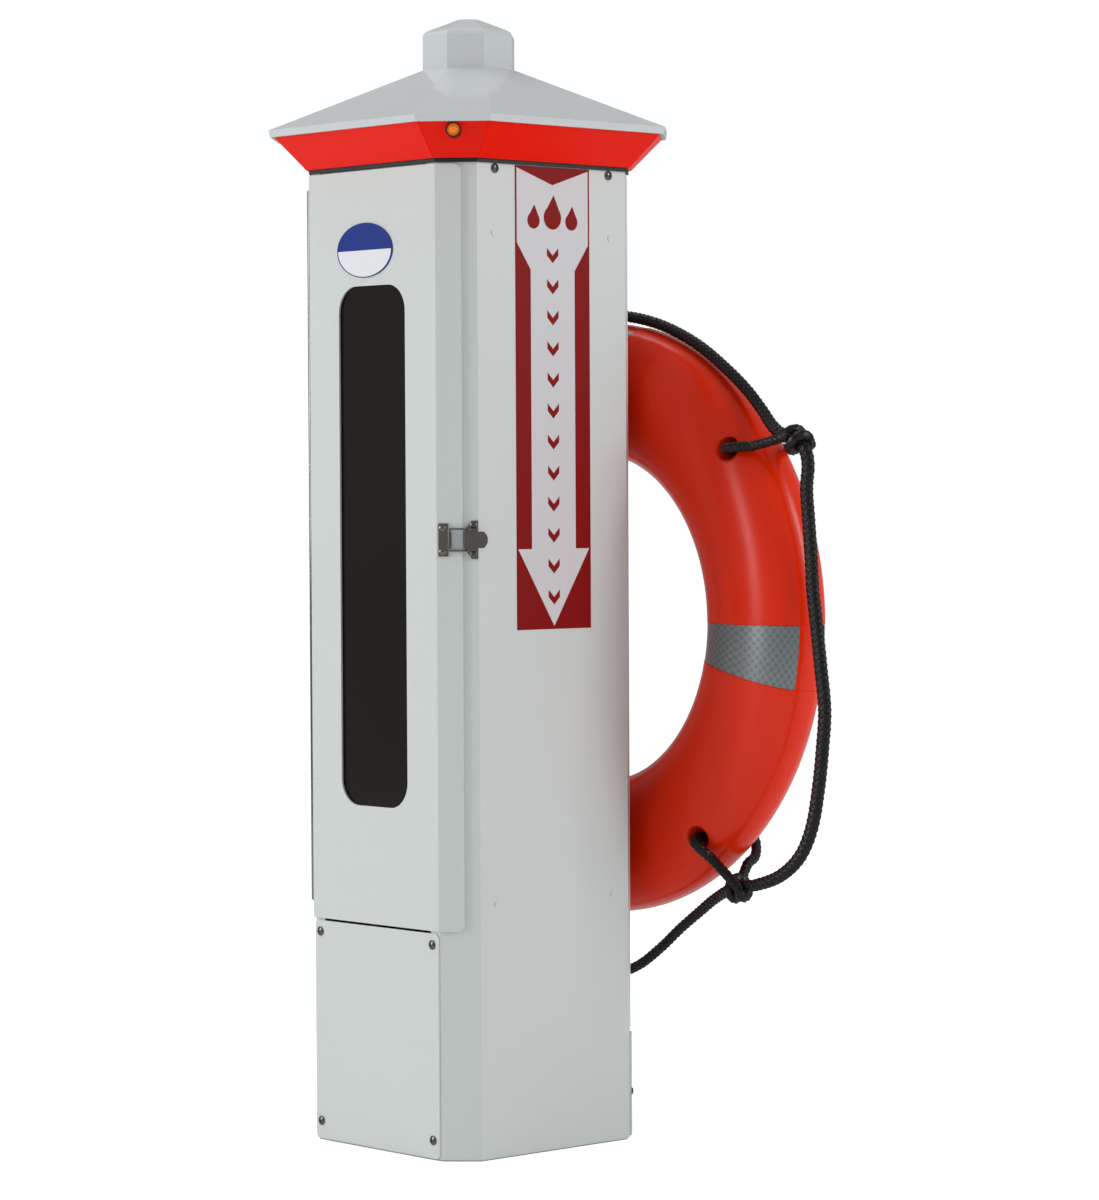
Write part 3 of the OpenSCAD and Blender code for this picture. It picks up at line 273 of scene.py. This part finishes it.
# ---------------------------------------------------------------------------- hitches
# The same line, tied at each hole: out of the hole's front, over the rim, round the hanging
# line one and a half times, and back behind the rim. The upper right knot has slid down from
# its hole, and the others sit beside theirs.
hitch_wrap = 9.8
hitch_spread = 5.0
hitch_thickness = 4.6
hitch_half = 9.0
hitch_step, hitch_sides = 1.15, 28
hole_distance = 277.0
hitch_turns = np.radians(np.arange(-90, 451, 30))
line_order = np.argsort(line_route[:, 0])
# Hole angle and knot angle of each hitch
hitch_places = ((38.5, 31.0), (-51.5, -50.8), (-141.5, -141.0), (128.5, 129.0))
to_rear = np.array([0, 1.0, 0])
# The lashing over the rim and back behind it: distance from the centre and to the rear (mm)
rim_front = [[277, -20], [277.5, -35], [283, -41], [294, -37], [306, -31]]
rim_rear = [[316, 10], [307, 27], [294, 38], [282, 42], [277, 34], [277, 14]]


def on_line(angle):
    """The hanging line's place at that angle round the ring, in mm, in the row frame."""
    held = [np.interp(angle, line_route[line_order, 0], line_route[line_order, k]) for k in (1, 2)]
    return round_ring(np.array([[angle, held[0], held[1]]]))[0]


hitch_parts = []
for hole_angle, knot_angle in hitch_places:
    hole = round_ring(np.array([[hole_angle, hole_distance, 0.0]]))[0]
    knot = on_line(knot_angle)
    along_line = on_line(knot_angle - 1.5) - on_line(knot_angle + 1.5)
    along_line[1] = 0
    along_line /= np.linalg.norm(along_line)
    reach = knot - hole
    reach[1] = 0
    length = np.linalg.norm(reach)
    reach /= length
    radial = (hole - [0, ring_y, ring_z]) / hole_distance
    slant = max(0.7, reach @ radial)
    beyond = np.cross(to_rear, along_line)
    beyond *= np.sign(beyond @ reach)
    front, rear = ([hole + reach * (r - hole_distance) / slant + to_rear * y for r, y in side]
                   for side in (rim_front, rim_rear))
    wraps = (knot + hitch_wrap * (np.cos(hitch_turns)[:, None] * beyond
                                  + np.sin(hitch_turns)[:, None] * to_rear)
             + np.linspace(-hitch_half, hitch_half, len(hitch_turns))[:, None] * along_line)
    path, _ = even_path(np.vstack([front, wraps, rear]), hitch_step, closed=True)
    hitch_parts.append(braided_tube(path, np.full(len(path), hitch_spread), hitch_thickness,
                                    along_line, hitch_sides, True))
hitch_points, hitch_quads, hitch_heights, base = [], [], [], 0
for part, height in hitch_parts:
    hitch_quads.append(grid_faces(part.shape[0], part.shape[1], True, True) + base)
    hitch_points.append(part.reshape(-1, 3))
    hitch_heights.append(height.ravel())
    base += part.shape[0] * part.shape[1]
hitches = new_piece("braided_line_hitches", np.vstack(hitch_points), np.vstack(hitch_quads),
                    heights=np.concatenate(hitch_heights))
hitches.data.materials.append(polyester)
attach(hitches, "life_ring")
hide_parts("line_hitches")

# ---------------------------------------------------------------------------- life ring
# Rotationally moulded polyethylene shell, foam filled: smooth, soft gloss, with a raised belt
# at the mould's parting line, shallow seats for the bands and rounded holes for the line.
ring_od, ring_w, ring_t = 610.0, 137.0, 82.0
ring_mean = (ring_od - ring_w) / 2
squareness = 2.3
band_w, band_seat = 51.0, 0.9
belt_half, belt_rise = 9.0, 0.25
hole_r, hole_in, hole_lip = 11.0, 28.0, 4.5


def ring_surface(turns, rounds, inset):
    """Points of the ring at angles turns round it and rounds about its section. The section is
    a squarish oval: half width times |cos|^(2/n), half depth times |sin|^(2/n), less inset."""
    c, s = np.cos(rounds), np.sin(rounds)
    wide = np.sign(c) * np.abs(c) ** (2 / squareness)
    deep = np.sign(s) * np.abs(s) ** (2 / squareness)
    r = ring_mean + (ring_w / 2 - inset) * wide
    y = (ring_t / 2 - inset) * deep + 0 * turns
    return np.stack([r * np.cos(turns), ring_y + y, ring_z + r * np.sin(turns)], -1)


band_half = math.degrees(band_w / ring_mean) / 2
edges = np.concatenate([k * 90 + ring_turn + np.array([-1, 1]) * band_half for k in range(4)])
angles = np.concatenate([np.arange(0, 360, 1.25) + ring_turn, edges - 0.03, edges + 0.03])
angles = np.unique(np.round((angles - ring_turn) % 360, 4)) + ring_turn
from_band = np.abs((angles - ring_turn + 45) % 90 - 45)
seat = np.where(from_band < band_half, band_seat, 0.0)[:, None]
rounds = np.linspace(0, 2 * np.pi, 104, endpoint=False)[None, :]
section_y = ring_t / 2 * np.sign(np.sin(rounds)) * np.abs(np.sin(rounds)) ** (2 / squareness)
belt = belt_rise * (np.cos(rounds) > 0) / (1 + np.exp((np.abs(section_y) - belt_half) * 2.5))
shell_points = ring_surface(np.radians(angles)[:, None], rounds, seat - belt)
ring = new_piece("moulded_ring_shell", shell_points,
                 grid_faces(len(angles), rounds.size, True, True))

# Plugs that cut the four holes: straight bores that flare at both mouths, leaning with the
# ring's slope there
lip_t = np.linspace(0, np.pi / 2, 7)
mouth = 35.0
lean = 0.4
plug_sides = 40
bore_y = np.concatenate([[mouth + 14, mouth + 0.1], mouth - hole_lip * (1 - np.cos(lip_t)), [0]])
bore_r = np.concatenate([[hole_r + hole_lip + 3, hole_r + hole_lip + 2.4],
                         hole_r + hole_lip * (1 - np.sin(lip_t)), [hole_r]])
bore_y = np.concatenate([bore_y, -bore_y[-2::-1]])
bore_r = np.concatenate([bore_r, bore_r[-2::-1]])
spin = np.linspace(0, 2 * np.pi, plug_sides, endpoint=False)
for hole_angle, _ in hitch_places:
    a = math.radians(hole_angle)
    out = np.array([math.cos(a), 0, math.sin(a)])
    across = np.array([math.sin(a), 0, -math.cos(a)])
    x = bore_r[:, None] * np.cos(spin)[None, :]
    t = bore_r[:, None] * np.sin(spin)[None, :]
    y = bore_y[:, None] - np.sign(bore_y)[:, None] * lean * x
    plug_points = (np.array([0, ring_y, ring_z]) + (ring_od / 2 - hole_in + x)[..., None] * out
                   + y[..., None] * to_rear + t[..., None] * across)
    plug = new_piece("line_hole_plug", plug_points, grid_faces(len(bore_y), plug_sides, False, True),
                     ends=[list(range(plug_sides))[::-1],
                           list(range((len(bore_y) - 1) * plug_sides, len(bore_y) * plug_sides))])
    cut = ring.modifiers.new("line_hole", "BOOLEAN")
    cut.operation, cut.solver, cut.object = "DIFFERENCE", "EXACT", plug
    current = ring.evaluated_get(bpy.context.evaluated_depsgraph_get())
    done = bpy.data.meshes.new_from_object(current)
    ring.modifiers.clear()
    ring.data = done
    bpy.data.objects.remove(plug)
done.name = "moulded_ring_shell"
done.polygons.foreach_set("use_smooth", [True] * len(done.polygons))
done.set_sharp_from_angle(angle=math.radians(42))
# Moulded polyethylene: even orange red, waxy gloss, very fine texture from the mould
polyethylene, surface = new_finish("moulded_orange_polyethylene", "#F02C00", 0.25)
surface.inputs["Subsurface Weight"].default_value = 0.06
surface.inputs["Subsurface Radius"].default_value = (0.006, 0.002, 0.001)
surface.inputs["Specular IOR Level"].default_value = 0.3
where = add_node(polyethylene, "ShaderNodeTexCoord")
speckle = add_node(polyethylene, "ShaderNodeTexNoise", [("Vector", where.outputs["Object"])],
                   Scale=420.0, Detail=2.0)
add_node(polyethylene, "ShaderNodeBump",
         [("Height", speckle.outputs["Fac"]), ("Normal", surface, "Normal")],
         Strength=0.12, Distance=0.0004)
ring.data.materials.clear()
ring.data.materials.append(polyethylene)
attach(ring, "life_ring")
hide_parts("ring_shell")

# ---------------------------------------------------------------------------- reflective bands
# Four bands of silver retro-reflective tape, each set in its shallow seat, with its two ends
# just short of the rim. The tape is a grid of tiny sealed cells, drawn as 4 mm squares.
cell = 4.0
# Degrees round the section from the rim to each end of the tape, the length once round the
# section (mm), and how far the film's two faces lie under the bare shell (mm)
tape_end = 22.0
section_run = 344.0
tape_top, tape_under = 0.35, 0.8
band_parts, band_uvs, band_quads, base = [], [], [], 0
for k in range(4):
    turns = np.radians(k * 90 + ring_turn + np.linspace(-1, 1, 13) * (band_half - 0.15))[:, None]
    tape_rounds = np.radians(np.linspace(tape_end, 360 - tape_end, 96))[None, :]
    top = ring_surface(turns, tape_rounds, tape_top)
    under = ring_surface(turns, tape_rounds, tape_under)
    outline = np.concatenate([top, under[::-1], top[:1]])
    across = np.concatenate([turns, turns[::-1], turns[:1]]) * ring_mean
    around = np.broadcast_to(tape_rounds / (2 * np.pi) * section_run, outline.shape[:2])
    band_uvs.append(np.stack([np.broadcast_to(across, around.shape), around], -1).reshape(-1, 2))
    band_parts.append(outline.reshape(-1, 3))
    band_quads.append(grid_faces(outline.shape[0], outline.shape[1], False, False) + base)
    base += outline.shape[0] * outline.shape[1]
bands = new_piece("reflective_tape_bands", np.vstack(band_parts), np.vstack(band_quads),
                  uv=np.vstack(band_uvs))
bands.data.set_sharp_from_angle(angle=math.radians(40))
# Microprism tape: silver grey under a clear film, cells slightly lighter and darker
tape, surface = new_finish("microprism_reflective_tape", "#777C7E", 0.32, 0.6)
where = add_node(tape, "ShaderNodeUVMap", uv_map="cloth")
squares = add_node(tape, "ShaderNodeTexChecker", [("Vector", where.outputs["UV"])],
                   Scale=1.0 / cell, Color1=srgb("#757B7D"), Color2=srgb("#878C8E"))
seams = add_node(tape, "ShaderNodeTexBrick",
                 [("Vector", where.outputs["UV"]), ("Color1", squares.outputs["Color"]),
                  ("Color2", squares.outputs["Color"])],
                 Scale=1.0 / cell, Mortar=srgb("#8F9495"), Mortar_Size=0.03, Brick_Width=1.0,
                 Row_Height=1.0, offset=0.0)
tape.node_tree.links.new(seams.outputs["Color"], surface.inputs["Base Color"])
bands.data.materials.append(tape)
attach(bands, "life_ring")
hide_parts("reflective_bands")


# ---------------------------------------------------------------------------- painted sheet
# Column shells, back panel, covers, door and rivets: steel sheet folded, then powder coated
# together, so the rivets carry the same pale grey.
def paint(names, material):
    """Gives these CAD nodes that finish."""
    for name in names:
        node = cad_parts[name]
        if not node.material_slots:
            node.data.materials.append(material)
        for place in node.material_slots:
            place.material = material


# Powder coat: pale, slightly cool grey, semi-gloss, with a fine orange peel about 1 mm across
powder, surface = new_finish("pale_grey_powder_coat", "#D3D9D6", 0.38)
where = add_node(powder, "ShaderNodeTexCoord")
peel = add_node(powder, "ShaderNodeTexNoise", [("Vector", where.outputs["Object"])],
                Scale=650.0, Detail=1.0)
add_node(powder, "ShaderNodeBump", [("Height", peel.outputs["Fac"]), ("Normal", surface, "Normal")],
         Strength=0.1, Distance=0.0003)
paint(["left_side_shell", "right_side_shell", "back_panel", "access_cover", "rear_access_cover",
       "door_skin", "side_rivets"], powder)

# ---------------------------------------------------------------------------- cap
# Spun and folded cap, sprayed with a glossier grey that mirrors its own turret.
gloss_paint, surface = new_finish("glossy_grey_enamel", "#D6DADB", 0.12)
surface.inputs["Coat Weight"].default_value = 0.6
surface.inputs["Coat Roughness"].default_value = 0.04
paint(["cap"], gloss_paint)

# ---------------------------------------------------------------------------- lens
# Moulded red acrylic panels, lit from inside, so the colour is even and glows a little.
red_acrylic, surface = new_finish("lit_red_acrylic", "#CC1200", 0.34)
surface.inputs["Specular IOR Level"].default_value = 0.1
surface.inputs["Emission Color"].default_value = srgb("#F0200C")
surface.inputs["Emission Strength"].default_value = 0.3
paint(["lens_skirt"], red_acrylic)

# ---------------------------------------------------------------------------- lamp
# A small amber marker in a dark red hood on the corner panel.
hood, _ = new_finish("dark_red_hood", "#4E0B03", 0.4)
paint(["lamp_bezel"], hood)
amber, surface = new_finish("lit_amber_lens", "#C85A04", 0.15)
surface.inputs["Emission Color"].default_value = srgb("#FF8A10")
surface.inputs["Emission Strength"].default_value = 0.4
paint(["lamp_lens"], amber)

# ---------------------------------------------------------------------------- sign
# Two cut vinyl films: the red field with its marks, and the white arrow.
red_film, surface = new_finish("dark_red_vinyl", "#860000", 0.4)
surface.inputs["Specular IOR Level"].default_value = 0.15
white_film, _ = new_finish("white_vinyl", "#D4D3D5", 0.34)
paint(["sign_panel"], red_film)
paint(["sign_arrow"], white_film)

# ---------------------------------------------------------------------------- window
# Dark smoked acrylic behind the door's round-cornered opening, held by clips on a gasket.
smoked, surface = new_finish("smoked_acrylic", "#1B0E0C", 0.05)
surface.inputs["Specular IOR Level"].default_value = 0.22
surface.inputs["Transmission Weight"].default_value = 0.2
paint(["window_pane"], smoked)

# ---------------------------------------------------------------------------- badge
# Stove-enamelled oval: upper half blue, lower half white, in a thin blue edge.
badge_x, badge_z, badge_w, badge_h = -9.0, 890.0, 85.0, 54.0
edge_from = 0.93


def reckon(material, operation, first, second):
    """The output of a new math node. Each input is a number or another node's output."""
    made = add_node(material, "ShaderNodeMath", operation=operation)
    for k, value in enumerate((first, second)):
        if isinstance(value, float):
            made.inputs[k].default_value = value
        else:
            material.node_tree.links.new(value, made.inputs[k])
    return made.outputs[0]


enamel, surface = new_finish("stove_enamel", "#FFFFFF", 0.22)
where = add_node(enamel, "ShaderNodeTexCoord")
place = add_node(enamel, "ShaderNodeSeparateXYZ", [("Vector", where.outputs["Object"])])
upper = reckon(enamel, "GREATER_THAN", place.outputs["Z"], badge_z * MM)
squared = []
for axis, middle, size in (("X", badge_x, badge_w), ("Z", badge_z, badge_h)):
    offset = reckon(enamel, "SUBTRACT", place.outputs[axis], middle * MM)
    share = reckon(enamel, "DIVIDE", offset, size / 2 * MM)
    squared.append(reckon(enamel, "POWER", share, 2.0))
edge = reckon(enamel, "GREATER_THAN", reckon(enamel, "ADD", *squared), edge_from)
tint = add_node(enamel, "ShaderNodeMix", [(0, reckon(enamel, "MAXIMUM", upper, edge))],
                data_type="RGBA")
tint.inputs[6].default_value = srgb("#EDEFF2")
tint.inputs[7].default_value = srgb("#0A2F88")
enamel.node_tree.links.new(tint.outputs[2], surface.inputs["Base Color"])
paint(["badge"], enamel)

# ---------------------------------------------------------------------------- latch and hinge
# Pressed and polished stainless draw latch, and a stainless piano hinge.
polished, _ = new_finish("polished_stainless", "#7D7871", 0.12, 1.0)
paint(["latch_base", "latch_pin", "latch_lever", "latch_bail", "strike", "hinge_body_leaf",
       "hinge_door_leaf", "hinge_pin"], polished)

# ---------------------------------------------------------------------------- screws and bolts
# Turned stainless fasteners, a little duller than the latch.
turned, _ = new_finish("turned_stainless", "#66635E", 0.24, 1.0)
paint(["back_panel_screws", "cover_screws", "rear_cover_screws", "latch_base_screws", "head_screws",
       "cap_frame_screws", "ring_hanger_bolts", "ext_pull_pin"], turned)

# ---------------------------------------------------------------------------- zinc-plated work
# Inside parts and hooks: cold-rolled steel with bright zinc plating.
zinc, _ = new_finish("zinc_plated_steel", "#A9ACAE", 0.38, 1.0)
paint(["base_plate", "compartment_shelf", "header_panel", "head_deck", "led_driver", "supply_conduit",
       "cap_posts", "cap_frame", "window_clips", "ext_hanger", "ring_hanger"], zinc)

# ---------------------------------------------------------------------------- rubber
# Extruded and moulded black rubber: seals, grommet, lead and hose.
rubber, _ = new_finish("black_rubber", "#171717", 0.6)
paint(["head_gasket", "lead_grommet", "window_gasket", "door_gasket", "ext_hose", "driver_lead"], rubber)

# ---------------------------------------------------------------------------- lights' electrics
# Green laminate ring with white diodes, and a pale terminal block.
laminate, _ = new_finish("green_circuit_laminate", "#0F5A35", 0.4)
paint(["led_board"], laminate)
diode, surface = new_finish("white_diode_plastic", "#F2F0E6", 0.35)
surface.inputs["Emission Color"].default_value = srgb("#FFF6E8")
surface.inputs["Emission Strength"].default_value = 1.0
paint(["leds"], diode)
block, _ = new_finish("ivory_nylon", "#E6E1D2", 0.5)
paint(["terminal_block"], block)

# ---------------------------------------------------------------------------- extinguisher
# Drawn steel bottle in red enamel, a forged alloy valve, a white dial and a printed label.
bottle, surface = new_finish("red_enamelled_steel", "#B0120E", 0.16)
surface.inputs["Coat Weight"].default_value = 0.5
paint(["ext_cylinder"], bottle)
alloy, _ = new_finish("forged_alloy", "#B9BABB", 0.34, 1.0)
paint(["ext_valve", "ext_lever"], alloy)
dial, _ = new_finish("white_dial_plastic", "#EDEDE8", 0.2)
paint(["ext_gauge"], dial)
foam, _ = new_finish("closed_cell_foam", "#E8DDB8", 0.8)
paint(["ring_foam"], foam)

label_r, label_y, label_z0, label_z1 = 65.25, 42.0, 430.0, 570.0
label_t = 0.15
label_columns, label_rows = 49, 8
label_turn = np.radians(np.linspace(-150, -30, label_columns))[None, :]
label_z = np.linspace(label_z0, label_z1, label_rows)[:, None]
label_faces = [np.stack([r * np.cos(label_turn) + 0 * label_z,
                         label_y + r * np.sin(label_turn) + 0 * label_z,
                         label_z + 0 * label_turn], -1) for r in (label_r, label_r + label_t)]
label_shell = np.concatenate([label_faces[0], label_faces[1][::-1]])
label = new_piece("extinguisher_label", label_shell,
                  grid_faces(2 * label_rows, label_columns, True, False),
                  ends=[[i * label_columns for i in range(2 * label_rows)],
                        [(i + 1) * label_columns - 1 for i in range(2 * label_rows - 1, -1, -1)]])
label.data.set_sharp_from_angle(angle=math.radians(40))
# Printed film: silver white with four flat red bars in place of words. A bar is where a
# height (m) that rises and falls every bar_step is over bar_from.
bar_step, bar_from = 0.018, 0.013
print_film, surface = new_finish("printed_label_film", "#E9EAEA", 0.3)
where = add_node(print_film, "ShaderNodeTexCoord")
place = add_node(print_film, "ShaderNodeSeparateXYZ", [("Vector", where.outputs["Object"])])
wave = reckon(print_film, "PINGPONG", place.outputs["Z"], bar_step)
stripe = reckon(print_film, "GREATER_THAN", wave, bar_from)
tint = add_node(print_film, "ShaderNodeMix", [(0, stripe)], data_type="RGBA")
tint.inputs[6].default_value = srgb("#E9EAEA")
tint.inputs[7].default_value = srgb("#A31212")
print_film.node_tree.links.new(tint.outputs[2], surface.inputs["Base Color"])
label.data.materials.append(print_film)
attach(label, "extinguisher")

# ---------------------------------------------------------------------------- studio
# A pale seamless floor, and soft boxes over, in front and to the right. room_light is the
# strength of the light from all round. The camera alone sees the floor and the backdrop
# brighter by backdrop_lift, which lights nothing.
room_light, backdrop_lift = 0.42, 0.66
floor_mesh = bpy.data.meshes.new("floor")
floor_mesh.from_pydata([(-30, -30, 0), (30, -30, 0), (30, 30, 0), (-30, 30, 0)], [], [(0, 1, 2, 3)])
floor = bpy.data.objects.new("floor", floor_mesh)
bpy.context.scene.collection.objects.link(floor)
floor_finish, surface = new_finish("pale_floor", "#F7F8F9", 0.9)
surface.inputs["Specular IOR Level"].default_value = 0.1
seen = add_node(floor_finish, "ShaderNodeLightPath")
glow = reckon(floor_finish, "MULTIPLY", seen.outputs["Is Camera Ray"], backdrop_lift)
floor_finish.node_tree.links.new(glow, surface.inputs["Emission Strength"])
surface.inputs["Emission Color"].default_value = srgb("#FFFFFF")
floor.data.materials.append(floor_finish)

world = bpy.data.worlds.new("studio")
bpy.context.scene.world = world
world.use_nodes = True
sky = world.node_tree.nodes["Background"]
sky.inputs["Color"].default_value = srgb("#F6F8FA")
seen = world.node_tree.nodes.new("ShaderNodeLightPath")
lift = world.node_tree.nodes.new("ShaderNodeMath")
lift.operation = "MULTIPLY_ADD"
lift.inputs[1].default_value = backdrop_lift
lift.inputs[2].default_value = room_light
world.node_tree.links.new(seen.outputs["Is Camera Ray"], lift.inputs[0])
world.node_tree.links.new(lift.outputs[0], sky.inputs["Strength"])


def soft_box(name, place, target, width, height, power):
    """A rectangular area light at place, facing target, in metres and watts."""
    lamp = bpy.data.lights.new(name, "AREA")
    lamp.shape, lamp.size, lamp.size_y, lamp.energy = "RECTANGLE", width, height, power
    box = bpy.data.objects.new(name, lamp)
    back = np.array(place, dtype=float) - np.array(target, dtype=float)
    back /= np.linalg.norm(back)
    side = np.cross([0, 0, 1.0], back)
    side /= np.linalg.norm(side)
    stand = np.eye(4)
    stand[:3, 0], stand[:3, 1], stand[:3, 2], stand[:3, 3] = side, np.cross(back, side), back, place
    box.matrix_world = Matrix(stand.tolist())
    bpy.context.scene.collection.objects.link(box)


soft_box("front_box", (-1.7, -3.5, 1.7), (0, 0, 0.6), 1.2, 2.4, 66)
soft_box("right_box", (3.2, 1.5, 1.9), (0, 0.1, 0.6), 0.9, 2.2, 50)
soft_box("top_box", (-1.2, -0.2, 3.2), (0, 0, 0.8), 1.4, 1.4, 22)
